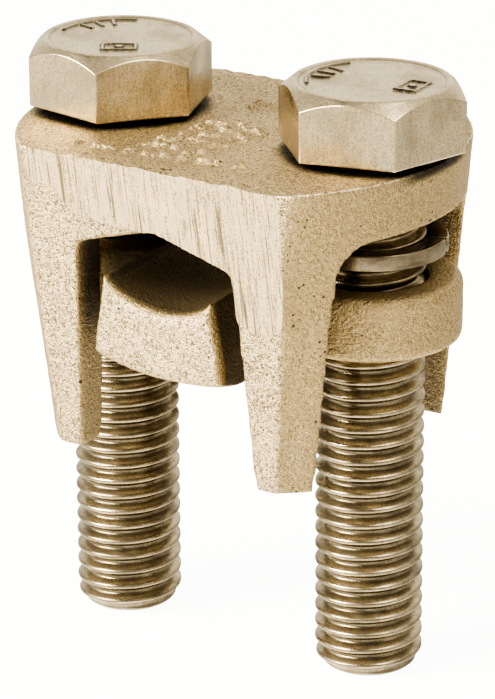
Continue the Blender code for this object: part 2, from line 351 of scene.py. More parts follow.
def shade_inside_saddle(tree, at):
    """Painted shade deep between the saddle's legs, stronger higher up and towards the back."""
    place = add(tree, "SeparateXYZ", {0: at})
    flat = add(tree, "CombineXYZ", {0: place.outputs[0], 1: place.outputs[1]}).outputs[0]
    from_middle = add(tree, "VectorMath", {0: flat}, operation="LENGTH").outputs["Value"]
    deep = mapped(tree, math_of(tree, "ABSOLUTE", place.outputs[1]), 16.0 * MM, 18.4 * MM, 1, 0)
    within = mapped(tree, from_middle, 22.0 * MM, 24.4 * MM, 1, 0)
    high = mapped(tree, place.outputs[2], 38.0 * MM, 46.0 * MM, 0.3, 1)
    high = math_of(tree, "MAXIMUM", high, mapped(tree, place.outputs[1], 4.0 * MM, 10.0 * MM, 0.0, 0.7))
    below_top = mapped(tree, place.outputs[2], 60.5 * MM, 62.0 * MM, 1, 0)
    inner = times(tree, deep, within)
    return times(tree, inner, times(tree, high, below_top))


def shade_inside_jaw(tree, at):
    """Painted shade in the jaw's groove, on the sides of its pads and over its middle under the saddle."""
    place = add(tree, "SeparateXYZ", {0: at})
    x = math_of(tree, "ABSOLUTE", place.outputs[0])
    y = math_of(tree, "ABSOLUTE", place.outputs[1])
    facing = add(tree, "SeparateXYZ", {0: add(tree, "TexCoord").outputs["Normal"]})
    aside = mapped(tree, math_of(tree, "ABSOLUTE", facing.outputs[0]), 0.55, 0.85)
    behind = mapped(tree, y, 16.9 * MM, 17.6 * MM, 1, 0)
    pad = mapped(tree, x, 9.6 * MM, 11.0 * MM, 1, 0)
    side = times(tree, aside, times(tree, behind, pad))
    hollow = times(tree, mapped(tree, facing.outputs[2], 0.2, 0.6), behind)
    hollow = times(tree, hollow, mapped(tree, x, 7.6 * MM, 8.4 * MM, 0.55, 0))
    covered = mapped(tree, math_of(tree, "ABSOLUTE", y), 14.5 * MM, 16.3 * MM, 1, 0)
    covered = times(tree, covered, mapped(tree, x, 11.5 * MM, 13.5 * MM, 1, 0))
    covered = times(tree, covered, mapped(tree, facing.outputs[2], 0.2, 0.5, 1, 0.35))
    return math_of(tree, "MAXIMUM", math_of(tree, "MAXIMUM", side, hollow), covered)


def cast_look(name, recess):
    """Sand-cast bronze: a fine grain that the light picks out, small pits, and dull recesses darkened with
    painted shade.
    """
    look, tree, shader = new_look(name)
    at = add(tree, "TexCoord").outputs["Object"]
    facing = add(tree, "SeparateXYZ", {0: add(tree, "TexCoord").outputs["Normal"]})
    upward = facing.outputs[2]
    # Cast faces towards front and back get a lighter, bolder grain: real grain with painted light on it
    lit_front_faces = mapped(tree, math_of(tree, "ABSOLUTE", facing.outputs[1]), 0.72, 0.92)
    place = add(tree, "SeparateXYZ", {0: at})
    outward = math_of(tree, "ABSOLUTE", place.outputs[0])
    in_depth = math_of(tree, "ABSOLUTE", place.outputs[1])
    level = place.outputs[2]
    lit_front_faces = times(tree, lit_front_faces, mapped(tree, in_depth, 15.0 * MM, 16.2 * MM))
    grain = noise_of(tree, at, 5200, 2, 0.65)
    sand = noise_of(tree, at, 2300, 2, 0.5)
    patches = noise_of(tree, at, 160, 3, 0.55)
    cells = add(tree, "TexVoronoi", {"Vector": at, "Scale": 1050.0, "Randomness": 1.0})
    rarity = noise_of(tree, at, 330, 2)
    size = mapped(tree, rarity, 0.5, 0.75, 0.08, 0.24)
    near_cell = math_of(tree, "LESS_THAN", cells.outputs["Distance"], size)
    rare = mapped(tree, rarity, 0.585, 0.6)
    pits = times(tree, near_cell, rare)
    tone = math_of(tree, "ADD", times(tree, grain, 0.7), times(tree, sand, 0.3))
    cast = blended(tree, mapped(tree, tone, 0.36, 0.50, 0, 1), BRONZE_DARK, BRONZE)
    cast = blended(tree, mapped(tree, tone, 0.51, 0.60), cast, BRONZE_LIGHT)
    cast = blended(tree, mapped(tree, patches, 0.4, 0.7, 0.3, 0.6), cast, BRONZE)
    lit_front_grain = blended(tree, mapped(tree, tone, 0.43, 0.54), BRONZE_DARK, GROUND_BRONZE)
    cast = blended(tree, times(tree, lit_front_faces, 0.75), cast, lit_front_grain)
    topside = times(tree, mapped(tree, upward, 0.7, 0.95), mapped(tree, level, 60 * MM, 61 * MM))
    sandy = blended(tree, mapped(tree, tone, 0.42, 0.55), BRONZE_DARK, BRONZE_LIGHT)
    cast = blended(tree, times(tree, topside, 0.8), cast, sandy)
    # The sloping top rim, most of all at the ends, turns light: partly wear, partly painted highlight
    rubbed_and_lit_rim = times(tree, mapped(tree, upward, 0.35, 0.6), mapped(tree, upward, 0.8, 0.95, 1, 0))
    rubbed_and_lit_rim = times(tree, rubbed_and_lit_rim, mapped(tree, level, 60.6 * MM, 61.6 * MM))
    rubbed_and_lit_rim = times(tree, rubbed_and_lit_rim, mapped(tree, sand, 0.4, 0.5))
    rubbed_and_lit_rim = times(tree, rubbed_and_lit_rim, mapped(tree, outward, 13 * MM, 15 * MM, 0.12, 1))
    cast = blended(tree, times(tree, rubbed_and_lit_rim, 0.85), cast, RIM_WEAR_AND_HIGHLIGHT_BRONZE)
    # painted shade in the recesses
    cast = blended(tree, times(tree, recess(tree, at), RECESS_SHADE), cast, DULL_STAIN_AND_SHADE)
    cast = blended(tree, times(tree, pits, 0.8), cast, DIRT_AND_SHADE)
    # painted shadow round the bolt heads
    cast = blended(tree, times(tree, shadow_under_heads(tree, at), 0.93), cast, DIRT_AND_SHADE)
    rough = mapped(tree, tone, 0.35, 0.65, 0.58, 0.36)
    rough = add(tree, "MapRange", {"Value": rubbed_and_lit_rim, "To Min": rough, "To Max": 0.28}).outputs[0]
    height = math_of(tree, "ADD", times(tree, grain, 0.8), times(tree, sand, 0.8))
    height = math_of(tree, "SUBTRACT", height, times(tree, pits, 0.8))
    tree.links.new(cast, shader.inputs["Base Color"])
    tree.links.new(rough, shader.inputs["Roughness"])
    tree.links.new(bumped(tree, height, 0.24 * MM, 0.9), shader.inputs["Normal"])
    shader.inputs["Metallic"].default_value = 1.0
    return look


def ground_look(name):
    """Bronze ground flat: near-upright scratches, a few of them deep, over a fine tooth and the odd pit."""
    look, tree, shader = new_look(name)
    at = add(tree, "TexCoord").outputs["Object"]
    place = add(tree, "SeparateXYZ", {0: at})
    lean = math_of(tree, "ADD", place.outputs[0], times(tree, place.outputs[2], 0.10))
    along = add(tree, "CombineXYZ", {0: lean, 1: place.outputs[1], 2: place.outputs[2]}).outputs[0]
    fine = noise_of(tree, stretched(tree, along, (5000, 300, 260)), 1.0, 2, 0.6)
    deep = noise_of(tree, stretched(tree, along, (4200, 200, 95)), 1.0, 2, 0.5)
    tooth = noise_of(tree, at, 4200, 2, 0.6)
    cloud = noise_of(tree, at, 260, 3, 0.6)
    cells = add(tree, "TexVoronoi", {"Vector": at, "Scale": 900.0, "Randomness": 1.0})
    pits = math_of(tree, "LESS_THAN", cells.outputs["Distance"], mapped(tree, cloud, 0.56, 0.8, 0.0, 0.3))
    lines = mapped(tree, deep, 0.35, 0.42, 1, 0)
    grain = math_of(tree, "ADD", times(tree, fine, 0.5), times(tree, tooth, 0.5))
    metal = blended(tree, mapped(tree, grain, 0.40, 0.50), BRONZE_DARK, GROUND_BRONZE)
    metal = blended(tree, 0.35, metal, GROUND_BRONZE)
    metal = blended(tree, times(tree, lines, 0.8), metal, BRONZE_DARK)
    metal = blended(tree, times(tree, pits, 0.8), metal, DIRT_AND_SHADE)
    rough = mapped(tree, cloud, 0.35, 0.65, 0.42, 0.5)
    height = math_of(tree, "SUBTRACT", grain, times(tree, lines, 0.6))
    tree.links.new(metal, shader.inputs["Base Color"])
    tree.links.new(rough, shader.inputs["Roughness"])
    tree.links.new(bumped(tree, height, 0.09 * MM, 0.8), shader.inputs["Normal"])
    shader.inputs["Metallic"].default_value = 1.0
    return look


def bolt_look(name, with_stain_and_shade, low=0.3, high=0.8):
    """Satin bronze. Threads carry darker stains, the split rings are darkened mostly with painted shade, and
    heads are finely scratched and slightly uneven.
    """
    look, tree, shader = new_look(name)
    at = add(tree, "TexCoord").outputs["Object"]
    cloud = noise_of(tree, at, 210, 3, 0.55)
    grain = noise_of(tree, at, 4600, 2, 0.6)
    upright = noise_of(tree, stretched(tree, at, (5200, 5200, 260)), 1.0, 2, 0.6)
    level = noise_of(tree, stretched(tree, at, (900, 5200, 5200)), 1.0, 2, 0.6)
    facing_up = add(tree, "SeparateXYZ", {0: add(tree, "TexCoord").outputs["Normal"]}).outputs[2]
    top = mapped(tree, facing_up, 0.45, 0.75)
    place = add(tree, "SeparateXYZ", {0: at})
    flat = add(tree, "CombineXYZ", {0: place.outputs[0], 1: place.outputs[1]}).outputs[0]
    from_axis = add(tree, "VectorMath", {0: flat}, operation="LENGTH").outputs["Value"]
    # Painted shade on the sloping sides of the raised head marks
    shaded_mark_sides = times(tree, mapped(tree, facing_up, 0.86, 0.985, 1, 0), top)
    shaded_mark_sides = times(tree, shaded_mark_sides, mapped(tree, from_axis, 8.2 * MM, 8.5 * MM, 1, 0))
    shaded_mark_sides = times(tree, shaded_mark_sides, mapped(tree, place.outputs[2], 70.3 * MM, 70.5 * MM))
    brush = add(tree, "MapRange", {"Value": top, "To Min": upright, "To Max": level}).outputs[0]
    speck = math_of(tree, "ADD", times(tree, brush, 0.25), times(tree, grain, 0.75))
    colour = blended(tree, mapped(tree, speck, 0.36, 0.6, 0.45, 1), SATIN_DARK, SATIN_LIGHT)
    colour = blended(tree, mapped(tree, cloud, 0.42, 0.68, 0, 0.4), colour, SATIN_DARK)
    rough = mapped(tree, cloud, 0.3, 0.7, 0.25, 0.36)
    height = math_of(tree, "ADD", times(tree, brush, 0.4), times(tree, grain, 0.6))
    if with_stain_and_shade:
        stain_and_shade = noise_of(tree, stretched(tree, at, (300, 300, 900)), 1.0, 3, 0.6)
        colour = blended(tree, mapped(tree, stain_and_shade, 0.38, 0.75, low, high), colour, DULL_STAIN_AND_SHADE)
        rough = mapped(tree, stain_and_shade, 0.3, 0.7, 0.24, 0.38)
        # Painted shade in the thread roots
        shaded_thread_roots = mapped(tree, from_axis, 5.4 * MM, 5.85 * MM, 0.3, 0)
        shaded_thread_roots = times(tree, shaded_thread_roots, mapped(tree, place.outputs[2], 0.8 * MM, 1.6 * MM))
        colour = blended(tree, shaded_thread_roots, colour, DIRT_AND_SHADE)
    colour = blended(tree, times(tree, shaded_mark_sides, 0.85), colour, DIRT_AND_SHADE)
    smudge = noise_of(tree, at, 190, 1)
    uneven = bumped(tree, smudge, 0.6 * MM, 0.6)
    tree.links.new(colour, shader.inputs["Base Color"])
    tree.links.new(rough, shader.inputs["Roughness"])
    tree.links.new(bumped(tree, height, 0.02 * MM, 0.5, uneven), shader.inputs["Normal"])
    shader.inputs["Metallic"].default_value = 1.0
    return look


def seat_look(name):
    """The hidden side of a head and its washer face, darkened nearly to black with painted shade."""
    look, tree, shader = new_look(name)
    at = add(tree, "TexCoord").outputs["Object"]
    stain_and_shade = noise_of(tree, at, 500, 3, 0.6)
    colour = blended(tree, mapped(tree, stain_and_shade, 0.35, 0.75, 0, 0.35), DIRT_AND_SHADE, BRONZE_DARK)
    tree.links.new(colour, shader.inputs["Base Color"])
    tree.links.new(mapped(tree, stain_and_shade, 0.3, 0.7, 0.75, 0.55), shader.inputs["Roughness"])
    tree.links.new(bumped(tree, stain_and_shade, 0.05 * MM, 0.5), shader.inputs["Normal"])
    shader.inputs["Metallic"].default_value = 1.0
    return look


# ---------------------------------------------------------------- castings


def add_cast_skin(points, normals, amount, seed):
    """The lumps and grain that a sand mould leaves."""
    lumps = 0.05 * MM * noise_at(points, 7 * MM, seed)
    skin = 0.030 * MM * noise_at(points, 1.6 * MM, seed + 1)
    grain = 0.028 * MM * noise_at(points, 0.62 * MM, seed + 2)
    return points + normals * (amount * (lumps + skin + grain))[:, None]


def top_marks():
    """Raised bars and dots on the saddle's top: (x, y, half length) in millimetres, and turn in degrees."""
    marks = []
    for k in range(7):
        marks.append((-12.4 + 3.4 * k, -15.4 + 0.3 * k, 1.0 if k % 2 else 0.4, 75 - 50 * (k % 2)))
    for k in range(5):
        marks.append((-4.6 + 0.4 * k, -11.4 + 2.6 * k, 1.3, 15 + 40 * k))
        marks.append((-1.9 + 0.4 * k, -10.3 + 2.6 * k, 1.1, 95 - 35 * k))
        marks.append((1.0 + 0.4 * k, -11.9 + 2.7 * k, 0.9, 60 + 25 * k))
        marks.append((-3.4 + 1.9 * k, 8.0 + 1.3 * k, 0.9, 100 - 30 * k))
    return marks


def raised_by_marks(points):
    """How far the marks raise each point of the saddle's top, roughly as sand leaves them."""
    x = points[:, 0] + 0.22 * MM * noise_at(points, 0.9 * MM, 41)
    y = points[:, 1] + 0.22 * MM * noise_at(points, 0.9 * MM, 42)
    lift = np.zeros(len(points))
    for centre_x, centre_y, half, turn in top_marks():
        angle = math.radians(turn)
        dx, dy = x - centre_x * MM, y - centre_y * MM
        along = dx * math.cos(angle) + dy * math.sin(angle)
        across = -dx * math.sin(angle) + dy * math.cos(angle)
        distance = np.hypot(np.maximum(np.abs(along) - half * MM, 0), across)
        lift = np.maximum(lift, smooth_step(-distance, -0.66 * MM, -0.3 * MM))
    rough = 0.7 + 1.0 * noise_at(points, 0.6 * MM, 43)
    return 0.6 * MM * lift * rough


def half_width_at(z):
    """How far the ground faces are from the middle plane at a height."""
    return HALF_WIDTH - SIDE_DRAFT * (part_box("saddle")[1].z - z)


def settle_casting(points):
    """The casting before grinding: stock on the faces that the grinder reaches, and legs off true."""
    x, y, z = points.T.copy()
    side = np.where(y < 0, -1.0, 1.0)
    # how far up each face the grinder reaches, from its left edge to its right one
    across = -side * x
    reach = np.interp(across / MM, [-18, -9.5, -2.2, 3, 6, 18], [60.3, 56.4, 55.6, 50, 46, 46]) * MM
    uneven = noise_at(points, 3.2 * MM, 31) + 0.5 * noise_at(points, 1.1 * MM, 32)
    left_as_cast = smooth_step(reach - z + 1.3 * MM * uneven, -0.7 * MM, 1.1 * MM)
    # the upper corners stay as cast
    corner = smooth_step(np.abs(x), 15.6 * MM, 18 * MM) * smooth_step(z, 46 * MM, 60 * MM)
    stock = GRINDING_STOCK - 0.5 * MM * left_as_cast - 0.62 * MM * corner
    near_face = np.clip((np.abs(y) - half_width_at(z)) / (1.5 * MM) + 1, 0, 1)
    y += side * near_face * stock
    # the front and back edges of the top are a little ragged
    rim = smooth_step(np.abs(y), 17.2 * MM, 18.4 * MM) * smooth_step(z, 61.4 * MM, 62.2 * MM)
    z -= rim * (0.1 + 0.35 * noise_at(points, 1.1 * MM, 33)) * MM
    # the feet have more stock at the right
    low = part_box("saddle")[0].z
    z -= FOOT_STOCK * np.where(x < 0, 0.35, 1.0) * smooth_step(-z, -(low + 6 * MM), -(low + 0.5 * MM))
    # the front legs lean, and the left one tapers
    down = np.clip((52 * MM - z) / (25 * MM), 0, 1)
    front = smooth_step(-y, 2 * MM, 8 * MM)
    inner = 1 - smooth_step(x, 12.5 * MM, 17 * MM)
    outer = smooth_step(-x, 15 * MM, 21 * MM)
    x += LEG_LEAN * down * front * np.where(x < 0, 1.4 + 0.5 * outer, 0.7 * inner)
    # the left front leg is deeper from front to back
    deeper = smooth_step(-z, -46 * MM, -38 * MM) * smooth_step(y, -16 * MM, -14 * MM)
    y += 0.45 * MM * deeper * (x < 0) * (y < -10 * MM)
    # a lower ceiling over the window
    ceiling = smooth_step(z, 49 * MM, 51.5 * MM) * (1 - smooth_step(z, 56.5 * MM, 60 * MM))
    z -= 0.4 * MM * ceiling * (1 - smooth_step(np.abs(x), 10.5 * MM, 13 * MM))
    # the right front leg is thinner from front to back
    thinner = smooth_step(x, 10 * MM, 12 * MM) * smooth_step(-z, -52 * MM, -46 * MM)
    thinner = thinner * smooth_step(-y, 9 * MM, 13 * MM) * (1 - smooth_step(-y, 13.8 * MM, 17 * MM))
    y -= 0.6 * MM * thinner
    return np.stack([x, y, z], axis=1)


def ground_flat(mesh):
    """The mesh with its front and back ground off flat, and the faces that the grinder left."""
    low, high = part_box("saddle")
    bottom, top, wide = low.z - 5 * MM, high.z + 5 * MM, high.x + 5 * MM
    corners = []
    for x in (-wide, wide):
        for z in (bottom, top):
            for side in (-1, 1):
                corners.append((x, side * half_width_at(z), z))
    cutter_mesh = bpy.data.meshes.new("grinder")
    sides = [(0, 1, 3, 2), (4, 6, 7, 5), (0, 4, 5, 1), (2, 3, 7, 6), (0, 2, 6, 4), (1, 5, 7, 3)]
    cutter_mesh.from_pydata(corners, [], sides)
    cutter = bpy.data.objects.new("grinder", cutter_mesh)
    work = bpy.data.objects.new("unground", mesh)
    for obj in (cutter, work):
        bpy.context.scene.collection.objects.link(obj)
    boolean = work.modifiers.new("grind", "BOOLEAN")
    boolean.operation = "INTERSECT"
    boolean.solver = "MANIFOLD"
    boolean.object = cutter
    bpy.context.view_layer.update()
    graph = bpy.context.evaluated_depsgraph_get()
    ground = bpy.data.meshes.new_from_object(work.evaluated_get(graph))
    for obj in (cutter, work):
        bpy.data.objects.remove(obj)
    points = points_of(ground)
    plane = np.where(points[:, 1] < 0, -1.0, 1.0) * half_width_at(points[:, 2])
    # the grinder's own faces have many corners, which go exactly onto its planes
    for face in ground.polygons:
        if len(face.vertices) > LARGE_FACE:
            rim = list(face.vertices)
            points[rim, 1] = plane[rim]
    ground.vertices.foreach_set("co", points.astype(np.float32).ravel())
    ground.update()
    on_face = np.abs(points[:, 1] - plane) < 0.004 * MM
    flat = np.array([all(on_face[i] for i in face.vertices) for face in ground.polygons])
    return ground, flat


def sharpen_rim(mesh, flat):
    """Marks the edges between ground and cast faces as sharp."""
    sharp = np.zeros(len(mesh.edges), bool)
    touched = {}
    for face, is_flat in zip(mesh.polygons, flat):
        for key in face.edge_keys:
            touched.setdefault(key, set()).add(bool(is_flat))
    for index, edge in enumerate(mesh.edges):
        sharp[index] = len(touched.get(tuple(sorted(edge.vertices)), ())) == 2
    mesh.edges.foreach_set("use_edge_sharp", sharp)


def make_saddle(cast, ground):
    low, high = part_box("saddle")
    mesh = remeshed("saddle", SADDLE_VOXEL, [])
    points, edges = points_of(mesh), edges_of(mesh)
    points = settle_casting(points)
    points = relaxed(points, edges, 5, 0.5)
    foot = smooth_step(-points[:, 2], -(low.z + 3.0 * MM), -(low.z + 0.8 * MM))
    points = relaxed(points, edges, 14, 0.5 * foot[:, None])
    normals = normals_of(mesh, points)
    on_top = smooth_step(normals[:, 2], 0.9, 0.98) * (points[:, 2] > high.z - 1 * MM)
    points[:, 2] += on_top * raised_by_marks(points)
    normals = normals_of(mesh, points)
    points = add_cast_skin(points, normals, 1.0 + 1.2 * on_top, 1)
    points[:, 2] = np.maximum(points[:, 2], low.z)
    mesh.vertices.foreach_set("co", points.astype(np.float32).ravel())
    mesh.update()
    mesh, flat = ground_flat(mesh)
    finish_casting("cast_saddle", mesh, points_of(mesh), cast, "saddle", "saddle")
    mesh.materials.append(ground)
    mesh.polygons.foreach_set("material_index", flat.astype(np.int32))
    mesh.polygons.foreach_set("use_smooth", ~flat)
    sharpen_rim(mesh, flat)


def settle_pads(points):
    """The pads as cast: proud of the CAD, one side of each a little lower, and a deeper belly behind."""
    x, y, z = points.T.copy()
    pad = 1 - smooth_step(np.abs(x), 9.2 * MM, 11.5 * MM)
    u = np.clip(-np.sign(y) * x / PAD_HALF_WIDTH, -1, 1)
    drop = (0.43 * u + 0.6 * u * u) * MM
    z -= pad * drop * smooth_step(np.abs(y), 6 * MM, 12 * MM)
    belly = smooth_step(-z, -42 * MM, -39.5 * MM) * smooth_step(-np.abs(y), -17.8 * MM, -14 * MM)
    z -= (0.3 + 0.8 * np.abs(u)) * MM * belly * pad
    y += np.sign(y) * PAD_PROUD * pad * smooth_step(np.abs(y), 13 * MM, 17 * MM)
    z = np.maximum(z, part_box("jaw")[0].z)
    inward = np.sign(x) * 0.75 * MM * pad * smooth_step(np.abs(x), 6 * MM, 8.6 * MM)
    x -= inward * smooth_step(z, 40 * MM, 49 * MM)
    return np.stack([x, y, z], axis=1)


def make_jaw(look):
    low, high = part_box("jaw")
    steps = []
    for side in SIDES:
        axis = bolt_axis(side)
        plug = helper_cylinder("plug_" + side, axis, PLUG_RADIUS, *PLUG_SPAN)
        bore = helper_cylinder("bore_" + side, axis, BORE_RADIUS, low.z - 2 * MM, high.z + 2 * MM)
        steps += [("UNION", plug), ("DIFFERENCE", bore)]
    mesh = remeshed("jaw", JAW_VOXEL, steps)
    edges = edges_of(mesh)
    points = settle_pads(points_of(mesh))
    points = relaxed(points, edges, 5, 0.5)
    ends = smooth_step(np.abs(points[:, 1]), 14.5 * MM, 16.3 * MM)
    points = relaxed(points, edges, 22, 0.5 * ends[:, None])
    normals = normals_of(mesh, points)
    points = add_cast_skin(points, normals, 1.0, 11)
    finish_casting("cast_jaw", mesh, points, look, "jaw", "jaw")


# ---------------------------------------------------------------- bolts


def bolt_axis(side):
    """X of a bolt's axis, from the middle of its CAD node's tip."""
    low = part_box("bolt_" + side)[0]
    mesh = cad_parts["bolt_" + side].data
    xs = [v.co.x for v in mesh.vertices if v.co.z < low.z + 0.01 * MM]
    return (min(xs) + max(xs)) / 2


def thread_radius(angle, z):
    """Radius of the rolled thread at an angle and a height, faded at the tip and at the run-out."""
    phase = ((z - THREAD_PHASE) / PITCH - angle / (2 * math.pi)) % 1.0
    from_crest = np.minimum(phase, 1 - phase)
    flank = (0.5 - smooth_step(from_crest, 0.05, 0.43)) * 2
    crest = 1 - (from_crest / 0.5) ** 2 * 0.06
    shape = np.clip(0.5 + 0.5 * flank, 0, 1) * crest
    lead = smooth_step(z, -0.6 * PITCH, 1.1 * PITCH)
    run_out = 1 - smooth_step(z, THREAD_TOP - 1.5 * PITCH, THREAD_TOP)
    height = (CREST_RADIUS - ROOT_RADIUS) * lead
    radius = ROOT_RADIUS + height * shape
    return NECK_RADIUS + (radius - NECK_RADIUS) * run_out


def hexagon_radius(angle, rounding):
    """Polar radius of a hexagon with a corner at angle 0 and rounded corners."""
    from_corner = (angle + math.pi / 6) % (math.pi / 3) - math.pi / 6
    from_flat = math.pi / 6 - np.abs(from_corner)
    plain = HALF_FLATS / np.cos(from_flat)
    # a circle of the rounding's radius, tangent to both flats
    centre = (HALF_FLATS - rounding) / math.cos(math.pi / 6)
    side = centre * np.sin(from_corner)
    inside = np.maximum(rounding**2 - side**2, 0)
    arc = centre * np.cos(from_corner) + np.sqrt(inside)
    reach = rounding * math.sin(math.pi / 6)
    on_arc = np.abs(plain * np.sin(from_corner)) < reach
    return np.where(on_arc, np.minimum(arc, plain), plain)


def disc_grid(count):
    """Points of a unit disc on a square grid, count cells a side, as (x, y) arrays of rows and columns."""
    line = np.linspace(-1, 1, count + 1)
    a, b = np.meshgrid(line, line, indexing="ij")
    wide = np.abs(a) >= np.abs(b)
    radius = np.where(wide, a, b)
    with np.errstate(divide="ignore", invalid="ignore"):
        turn = np.where(wide, math.pi / 4 * b / a, math.pi / 2 - math.pi / 4 * a / b)
    turn = np.nan_to_num(turn)
    return radius * np.cos(turn), radius * np.sin(turn)


def head_marks(x, y, side):
    """Height of the raised marks on a head: three bars and an arc on one side, a boxed dot on the other."""
    lift = np.zeros_like(x)

    def stroke(distance):
        return smooth_step(-distance, -0.27 * MM, -0.17 * MM)

    for k in (-1, 0, 1):
        angle = math.radians(BARS_TURN[side] + BAR_STEP * k)
        along = x * math.cos(angle) + y * math.sin(angle)
        across = -x * math.sin(angle) + y * math.cos(angle)
        beyond = np.maximum(np.abs(along - BARS_AT) - BAR_HALF_LENGTH, 0)
        lift = np.maximum(lift, stroke(np.hypot(beyond, across)))
    angle = (np.arctan2(y, x) - math.radians(BARS_TURN[side])) % (2 * math.pi)
    outside = np.minimum(np.abs(angle - math.pi), math.pi) < math.radians(180 - ARC_HALF_SPAN)
    away = np.abs(np.hypot(x, y) - ARC_RADIUS)
    lift = np.maximum(lift, np.where(outside, 0, stroke(away)))
    angle = math.radians(BOX_TURN[side])
    a = x * math.cos(angle) + y * math.sin(angle) - BOX_REACH[side]
    b = -x * math.sin(angle) + y * math.cos(angle)
    frame_of_box = np.abs(np.maximum(np.abs(a) - 0.2 * MM, np.abs(b) - 0.9 * MM) - 1.0 * MM)
    lift = np.maximum(lift, stroke(frame_of_box))
    lift = np.maximum(lift, stroke(np.maximum(np.hypot(a, b) - 0.3 * MM, 0)))
    return MARK_HEIGHT * lift


def ring_faces(first, second, count):
    """Faces between two rings of count points, given the index of each ring's first point."""
    i = np.arange(count)
    j = (i + 1) % count
    return np.stack([first + i, first + j, second + j, second + i], axis=1).tolist()


def make_bolt(side, looks):
    low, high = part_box("bolt_" + side)
    bearing = high.z - HEX_HEIGHT - WASHER_FACE_HEIGHT
    hex_bottom = bearing + WASHER_FACE_HEIGHT
    plane = high.z
    points = []
    faces = []
    turn = math.radians(HEAD_TURN[side])

    def ring(angles, radius, z):
        start = len(points)
        radius = np.broadcast_to(radius, angles.shape)
        z = np.broadcast_to(z, angles.shape)
        for a, r, h in zip(angles, radius, z):
            points.append((r * math.cos(a + turn), r * math.sin(a + turn), h))
        return start

    # shank, from the middle of the tip up
    around = 2 * math.pi * np.arange(SHANK_COLUMNS) / SHANK_COLUMNS
    points.append((0, 0, low.z))
    rows = int(round((bearing - low.z) / PITCH * ROWS_PER_PITCH))
    previous = None
    tips = [(0.5, 0.0), (0.9, 0.0), (0.975, 0.03 * MM), (1.0, 0.12 * MM)]
    levels = [(share * TIP_RADIUS, low.z + lift) for share, lift in tips]
    for radius, z in levels:
        here = ring(around, radius, z)
        if previous is None:
            faces += [(0, here + (i + 1) % SHANK_COLUMNS, here + i) for i in range(SHANK_COLUMNS)]
        else:
            faces += ring_faces(previous, here, SHANK_COLUMNS)
        previous = here
    for row in range(2, rows):
        z = low.z + (bearing - low.z) * row / rows
        cone = TIP_RADIUS + (CREST_RADIUS - TIP_RADIUS) * (z - low.z) / TIP_CHAMFER
        radius = np.minimum(thread_radius(around + turn, z), cone)
        here = ring(around, radius, z)
        faces += ring_faces(previous, here, SHANK_COLUMNS)
        previous = here
    thread_faces = len(faces)

    # head, from the bearing face up and over the flats to the chamfer
    per_column = HEAD_COLUMNS // SHANK_COLUMNS
    round_head = 2 * math.pi * np.arange(HEAD_COLUMNS) / HEAD_COLUMNS
    flats = hexagon_radius(round_head, CORNER_ROUNDING)
    slope = HEAD_CORNER_DROP / (HALF_FLATS / math.cos(math.pi / 6) - HEAD_TOP_RADIUS)
    edge_z = plane - slope * (flats - HEAD_TOP_RADIUS)
    profile = [
        (NECK_RADIUS + 0.35 * MM, bearing),
        (WASHER_FACE_RADIUS - 0.12 * MM, bearing),
        (WASHER_FACE_RADIUS, bearing + 0.1 * MM),
        (WASHER_FACE_RADIUS, hex_bottom - 0.02 * MM),
        (WASHER_FACE_RADIUS + 0.05 * MM, hex_bottom),
        (flats - 0.2 * MM, hex_bottom),
        (flats - 0.06 * MM, hex_bottom + 0.05 * MM),
        (flats, hex_bottom + 0.2 * MM),
        (flats, hex_bottom + 0.3 * MM),
    ]
    for share in (0.25, 0.5, 0.75):
        profile.append((flats, hex_bottom + share * (edge_z - hex_bottom)))
    profile += [
        (flats, edge_z - 0.12 * MM),
        (flats, edge_z - 0.04 * MM),
        (flats - 0.02 * MM, edge_z - 0.005 * MM),
        (flats - 0.06 * MM, edge_z + slope * 0.06 * MM),
        (flats - 0.14 * MM, edge_z + slope * 0.14 * MM),
        (HEAD_TOP_RADIUS + 0.22 * MM, plane - slope * 0.22 * MM),
        (HEAD_TOP_RADIUS + 0.10 * MM, plane - slope * 0.10 * MM),
        (HEAD_TOP_RADIUS - 0.08 * MM, plane),
    ]
    for k, (radius, z) in enumerate(profile):
        here = ring(round_head, radius, z)
        if k == 0:
            for i in range(SHANK_COLUMNS):
                inner = [previous + (i + 1) % SHANK_COLUMNS, previous + i]
                outer = [here + (i * per_column + m) % HEAD_COLUMNS for m in range(per_column + 1)]
                faces.append(inner + outer)
        else:
            faces += ring_faces(previous, here, HEAD_COLUMNS)
        previous = here
        if k == SEAT_RINGS:
            seat_faces = len(faces)

    # the top, a square grid drawn into a disc whose edge meets the last ring
    cells = HEAD_COLUMNS // 4
    gx, gy = disc_grid(cells)
    scale = HEAD_TOP_RADIUS - 0.2 * MM
    gx, gy = gx * scale, gy * scale
    dish = smooth_step(scale - np.hypot(gx, gy), 0.1 * MM, 0.8 * MM)
    lift = head_marks(gx, gy, side) - MARK_HEIGHT * dish
    start = len(points)
    c, s = math.cos(turn), math.sin(turn)
    for x, y, up in zip(gx.ravel(), gy.ravel(), lift.ravel()):
        points.append((x * c - y * s, x * s + y * c, plane + up))
    index = start + np.arange((cells + 1) ** 2).reshape(cells + 1, cells + 1)
    quads = np.stack([index[:-1, :-1], index[1:, :-1], index[1:, 1:], index[:-1, 1:]], axis=-1)
    faces += quads.reshape(-1, 4).tolist()
    rim = np.concatenate([index[-1, :-1], index[::-1, -1][:-1], index[0, ::-1][:-1], index[:, 0][:-1]])
    rim_angle = np.arctan2(gy.ravel()[rim - start], gx.ravel()[rim - start]) % (2 * math.pi)
    order = np.argsort(rim_angle)
    rim = rim[order]
    for i in range(HEAD_COLUMNS):
        j = (i + 1) % HEAD_COLUMNS
        faces.append((previous + i, previous + j, rim[j], rim[i]))

    obj = new_piece(
        "hex_bolt_" + side, points, faces, looks, BODY_OF_BOLT[side], "bolt_" + side
    )
    index = np.ones(len(obj.data.polygons), np.int32)
    index[:thread_faces] = 0
    index[thread_faces:seat_faces] = 2
    obj.data.polygons.foreach_set("material_index", index)
    obj.location.x = bolt_axis(side)


# ---------------------------------------------------------------- split rings


